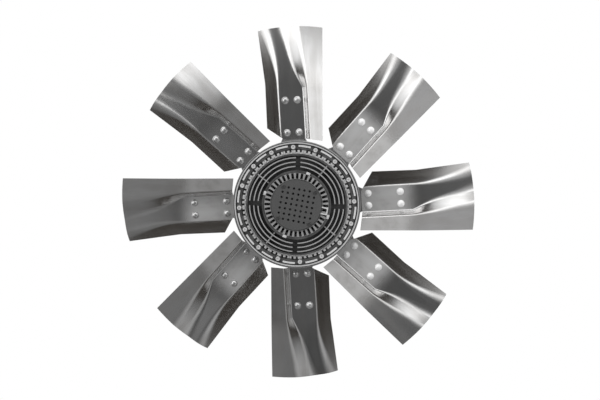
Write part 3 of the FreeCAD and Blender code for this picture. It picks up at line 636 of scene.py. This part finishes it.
@dataclass
class Studio:
    """The room, the white paper behind the impeller, the floor and the soft lights.

    Angles are in degrees from the way to the camera, as on a Card. The room's own tone goes over room_angles
    from the first of room_levels to the second. The wall, whose tone is horizon, stands beside the impeller
    and is warm where no card lights it, and the paper is behind. What the blades show in one another glows
    between glow_starts and glow_ends, most towards glow_heading; glow_side holds the cosines of the turn from
    that heading where the glow is least and where it is full.
    """

    floor_place: tuple[float, float, float] = (0.0, 1.9, -1.9)
    floor_radius: float = 0.9
    floor_sides: int = 96
    floor_finish: PaleFloor = PaleFloor("pale floor", grey=0.6, roughness=0.8, metallic=0.0)
    room_angles: tuple[float, float] = (10.0, 50.0)
    room_levels: tuple[float, float] = (0.1, 0.2)
    wall_angles: tuple[float, float] = (70.0, 82.0)
    horizon: float = 0.05
    horizon_warmth: float = 0.12
    warm_levels: tuple[float, float] = (0.3, 0.1)
    paper_angles: tuple[float, float] = (108.0, 120.0)
    glow_heading: float = -35.0
    glow_side: tuple[float, float] = (-0.3, 0.5)
    glow_levels: tuple[float, float] = (0.25, 1.1)
    glow_starts: tuple[float, float] = (50.0, 62.0)
    glow_ends: tuple[float, float] = (100.0, 92.0)

    def cards(self, g: Graph, level: bpy.types.NodeSocket, aside: bpy.types.NodeSocket,
              angle: bpy.types.NodeSocket) -> bpy.types.NodeSocket:
        """Adds the light of all the cards to the room's.

        Args:
            g: The world's graph.
            level: The room's own level.
            aside: The direction seen, flattened across the shaft.
            angle: Its angle from the way to the camera.

        Returns:
            Socket of the level with the cards.
        """
        card = card_group()
        for each in CARDS:
            edges = [math.cos(math.radians(each.half_width + step)) for step in (each.fade, -each.fade)]
            lit = g.add("ShaderNodeGroup", node_tree=card, label=each.name)
            values = {"Aside": aside, "Angle": angle, "Heading": towards(each.heading), "Outer": edges[0],
                      "Inner": edges[1], "Near": each.near, "Far": each.far, "Soft": each.soft,
                      "Level": each.level}
            for name, value in values.items():
                g.feed(lit.inputs[name], value)
            level = g.maths("ADD", level, lit.outputs["Level"])
        return level

    def glow(self, g: Graph, aside: bpy.types.NodeSocket,
             angle: bpy.types.NodeSocket) -> bpy.types.NodeSocket:
        """The glow that blades show in one another.

        Args:
            g: The world's graph.
            aside: The direction seen, flattened across the shaft.
            angle: Its angle from the way to the camera.

        Returns:
            Socket of its level.
        """
        side = g.vector("DOT_PRODUCT", aside, towards(self.glow_heading), output=1)
        around = g.maths("MULTIPLY", g.ramp(angle, *self.glow_starts), g.ramp(angle, *self.glow_ends))
        return g.maths("MULTIPLY", g.ramp(side, *self.glow_side, *self.glow_levels), around)

    def world(self) -> None:
        """A dim room with soft cards of light in it and white paper behind the impeller."""
        world = bpy.data.worlds.new("studio")
        bpy.context.scene.world = world
        world.use_nodes = True
        g = Graph(world.node_tree)
        way = g.add("ShaderNodeTexCoord").outputs["Generated"]
        forward = g.maths("MULTIPLY", g.add("ShaderNodeSeparateXYZ", {0: way}).outputs[1], -1.0)
        angle = g.maths("DEGREES", g.maths("ARCCOSINE", forward))
        aside = g.vector("NORMALIZE", g.vector("MULTIPLY", way, ACROSS_SHAFT))
        wall = g.ramp(angle, *self.wall_angles)
        level = g.blend_number(wall, g.ramp(angle, *self.room_angles, *self.room_levels), self.horizon)
        level = self.cards(g, level, aside, angle)
        # What is mirrored once sees the paper, and what is mirrored again sees the glow
        rays = g.add("ShaderNodeLightPath").outputs
        bounce = g.maths("SUBTRACT", rays["Ray Depth"], rays["Is Glossy Ray"])
        first = g.maths("LESS_THAN", bounce, FIRST_BOUNCE)
        later = g.maths("SUBTRACT", 1.0, first)
        level = g.maths("ADD", level, g.maths("MULTIPLY", self.glow(g, aside, angle), later))
        paper = g.ramp(angle, *self.paper_angles)
        behind = g.maths("MULTIPLY", paper, g.maths("MULTIPLY", first, rays["Is Glossy Ray"]))
        seen = g.maths("MAXIMUM", behind, rays["Is Camera Ray"])
        grey = g.add("ShaderNodeCombineColor", {0: level, 1: level, 2: level}).outputs[0]
        warm = g.maths("MULTIPLY", wall, g.ramp(level, *self.warm_levels))
        room = g.blend(warm, grey, rgb(self.horizon, self.horizon_warmth))
        out = g.add("ShaderNodeBackground", {"Color": g.blend(seen, room, WHITE)})
        g.feed(g.add("ShaderNodeOutputWorld").inputs[0], out.outputs[0])

    def floor(self) -> None:
        """A pale round floor below and behind the impeller, outside the photograph's frame."""
        bpy.ops.object.select_all(action="DESELECT")
        bpy.ops.mesh.primitive_circle_add(vertices=self.floor_sides, radius=self.floor_radius,
                                          fill_type="NGON", location=self.floor_place)
        floor = bpy.context.active_object
        floor.name = "floor"
        floor.data.materials.append(self.floor_finish.material())

    def light(self, lamp: Lamp) -> None:
        """Adds a lamp.

        Args:
            lamp: What it is and where it stands.
        """
        data = bpy.data.lights.new(lamp.name, "AREA")
        data.shape = "RECTANGLE"
        data.size, data.size_y = lamp.size
        data.energy = lamp.watts
        light = bpy.data.objects.new(lamp.name, data)
        bpy.context.scene.collection.objects.link(light)
        light.location = lamp.place
        light.rotation_euler = Vector(lamp.place).to_track_quat("Z", "Y").to_euler()
        light.visible_glossy = False

    def build(self) -> None:
        """Adds the world, the floor and the lights, and sets how colours are shown."""
        bpy.context.scene.view_settings.view_transform = "Standard"
        self.world()
        self.floor()
        for lamp in LAMPS:
            self.light(lamp)
        log.info("studio: %d cards, %d lamps", len(CARDS), len(LAMPS))


SHEET = RolledSheet("blade sheet", grey=0.7, dark_grey=0.55, roughness=0.2)
PLATE_SCREWS = Finish("plate screw steel", grey=0.3, roughness=0.35)
PADS = Finish("pad metal", grey=0.7, roughness=0.4, metallic=0.25)
FINISHES: dict[str, Finish] = {
    # Painted light on the rivet heads: lit on the right-hand blades, shaded on the left-hand ones
    "rivet_steel": PaintedLitHeads("bright rivet steel", grey=1.0, roughness=0.25, metallic=0.2),
    "spider_steel": Casting("spider plate", grey=0.5, dark_grey=0.35, machined_grey=0.6, roughness=0.4),
    "hub_casting": Casting("hub casting", grey=0.42, dark_grey=0.28, roughness=0.4, metallic=0.45,
                           machined_grey=0.85, machined_band=(0.1203, 0.1233),
                           groove_band=(0.1236, 0.1247)),
    # The finned cover's dark skin is partly its own colour and partly painted shade in the slots between the
    # fins
    "cover_casting": Casting("cover casting", grey=0.15, dark_grey=0.08, roughness=0.45, metallic=0.35,
                             machined_grey=0.52, machined_y=-0.0695, machined_band=(0.07, 0.0968)),
    "ring_casting": Casting("ring casting", grey=0.17, dark_grey=0.09, roughness=0.42, metallic=0.35,
                            machined_grey=0.95, machined_y=-0.0657, border_radius=0.1035,
                            groove_band=(0.1184, 0.1203)),
    "vent_metal": Casting("vent ring", grey=0.13, dark_grey=0.08, roughness=0.45, metallic=0.4,
                          machined_grey=0.45, machined_band=(0.0515, 0.0634)),
    "plate_metal": Casting("middle plate", grey=0.12, dark_grey=0.085, roughness=0.5, metallic=0.3,
                           machined_grey=0.12),
    "bush_steel": TurnedMetal("bush steel", grey=0.55, roughness=0.3),
    "screw_steel": Finish("screw steel", grey=0.95, roughness=0.3, metallic=0.4),
    "clip_steel": Finish("clip steel", grey=0.9, roughness=0.3, metallic=0.35),
    "gasket_rubber": Casting("gasket rubber", grey=0.03, dark_grey=0.02, roughness=0.7, metallic=0.0,
                             machined_grey=0.03),
}

# Painted light: how much lighter the land of each blade is made near the root, clockwise from the upright one
PAINTED_LAND_LIGHT = (0.0, 0.66, 0.53, 0.67, 0.0, 0.53, 0.53, 0.1)


class PadKind(Enum):
    """Where a small bright pad of the screw ring stands."""

    SCREW = "inside each screw"
    PAIR = "two half-way between screws"
    POST = "on the floor of each pocket"


PAD_WIDTHS = {PadKind.SCREW: 0.0078, PadKind.PAIR: 0.0038, PadKind.POST: 0.0046}


@dataclass
class RingPads:
    """Small bright pads on the inner track of the screw ring, between and in its pockets.

    They stand on the ring's face at face_y or on a pocket's floor at pocket_y, which they bite into, and rise
    above the face. Lengths run along the radius, and the front edges are rounded.
    """

    screw_count: int = 16
    radius: float = 0.1052
    face_y: float = -0.0640
    pocket_y: float = -0.0600
    rise: float = 0.0014
    bite: float = 0.0004
    length: float = 0.0052
    pair_spread: float = math.radians(1.2)
    post_turn: float = math.radians(5.625)
    edge: float = 0.0004
    edge_segments: int = 2
    front_normal: float = -0.9

    def headings(self, kind: PadKind) -> list[float]:
        """The headings of one kind of pad, in radians.

        Args:
            kind: The kind of pad.

        Returns:
            One heading for each pad.
        """
        step = 2 * math.pi / self.screw_count
        turns = {PadKind.SCREW: (0.0,),
                 PadKind.PAIR: (step / 2 - self.pair_spread, step / 2 + self.pair_spread),
                 PadKind.POST: (-self.post_turn, self.post_turn)}
        return [number * step + turn for number in range(self.screw_count) for turn in turns[kind]]

    def model(self, kind: PadKind) -> bpy.types.Object:
        """Models one pad of a kind at the top of the ring, with rounded front edges.

        Args:
            kind: The kind of pad.

        Returns:
            The pad, with its origin on the shaft axis.
        """
        foot = (self.pocket_y if kind is PadKind.POST else self.face_y) + self.bite
        top = self.face_y - self.rise
        bpy.ops.object.select_all(action="DESELECT")
        bpy.ops.mesh.primitive_cube_add(size=1.0, location=(0.0, (foot + top) / 2, self.radius))
        pad = bpy.context.active_object
        pad.scale = (PAD_WIDTHS[kind], foot - top, self.length)
        bpy.ops.object.transform_apply(location=True, rotation=True, scale=True)
        bpy.ops.object.mode_set(mode="EDIT")
        bpy.ops.mesh.select_mode(type="FACE")
        bpy.ops.mesh.select_all(action="DESELECT")
        shape = bmesh.from_edit_mesh(pad.data)
        for face in shape.faces:
            face.select_set(face.normal.y < self.front_normal)
        bmesh.update_edit_mesh(pad.data)
        bpy.ops.mesh.bevel(offset=self.edge, segments=self.edge_segments)
        bpy.ops.object.mode_set(mode="OBJECT")
        return pad

    def place(self, kind: PadKind) -> list[bpy.types.Object]:
        """Sets a kind of pad all round the ring, each with a mesh of its own.

        Args:
            kind: The kind of pad.

        Returns:
            The pads.
        """
        first, *others = self.headings(kind)
        pad = self.model(kind)
        pads = [pad]
        for heading in others:
            twin = pad.copy()
            twin.data = pad.data.copy()
            twin.rotation_euler = (0.0, heading, 0.0)
            bpy.context.scene.collection.objects.link(twin)
            pads.append(twin)
        pad.rotation_euler = (0.0, first, 0.0)
        log.info("ring pads, %s: %d", kind.value, len(pads))
        return pads

    def build(self, material: bpy.types.Material) -> bpy.types.Object:
        """Makes the pads as one piece that rides with the impeller.

        Args:
            material: The pads' material.

        Returns:
            The joined pads.
        """
        pads = [pad for kind in PadKind for pad in self.place(kind)]
        bpy.ops.object.select_all(action="DESELECT")
        for pad in pads:
            pad.select_set(True)
        bpy.context.view_layer.objects.active = pads[0]
        bpy.ops.object.join()
        bpy.ops.object.transform_apply(location=True, rotation=True, scale=True)
        joined = bpy.context.active_object
        joined.name = "ring_pads"
        joined.data.materials.append(material)
        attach(joined, ROOT)
        return joined


def dress(node: str, material: bpy.types.Material) -> None:
    """Gives a carried-over CAD node its material.

    Args:
        node: The node's name.
        material: What it is made of.
    """
    mesh = frame["nodes"][node].data
    for number in range(len(mesh.materials)):
        mesh.materials[number] = material
    log.info("dressed %s in %s", node, material.name)


def own_finishes() -> dict[str, Finish]:
    """The finishes of the nodes that don't share the look of their slot.

    Returns:
        Finish by node name: each blade has its own turn and its own share of painted light on the land, and
            the plate's screws are dark.
    """
    blades = {f"blade_{number}": replace(SHEET, name=f"blade sheet {number}", painted_light=painted_light,
                                         turn=2 * math.pi * (number - 1) / len(PAINTED_LAND_LIGHT))
              for number, painted_light in enumerate(PAINTED_LAND_LIGHT, start=1)}
    return {**blades, "plate_screws": PLATE_SCREWS}


def main() -> None:
    """Builds the studio, dresses each piece and adds the pads."""
    logging.basicConfig(level=logging.INFO)
    bpy.ops.object.select_all(action="DESELECT")
    PhotoView().camera()
    Studio().build()
    Groups.build()
    shared = {slot: finish.material() for slot, finish in FINISHES.items()}
    own = {node: finish.material() for node, finish in own_finishes().items()}
    for row in frame["record"]["subparts"]:
        node = row["node"]
        dress(node, own[node] if node in own else shared[row["material_slot"]])
    RingPads().build(PADS.material())


if __name__ == "__main__":
    main()
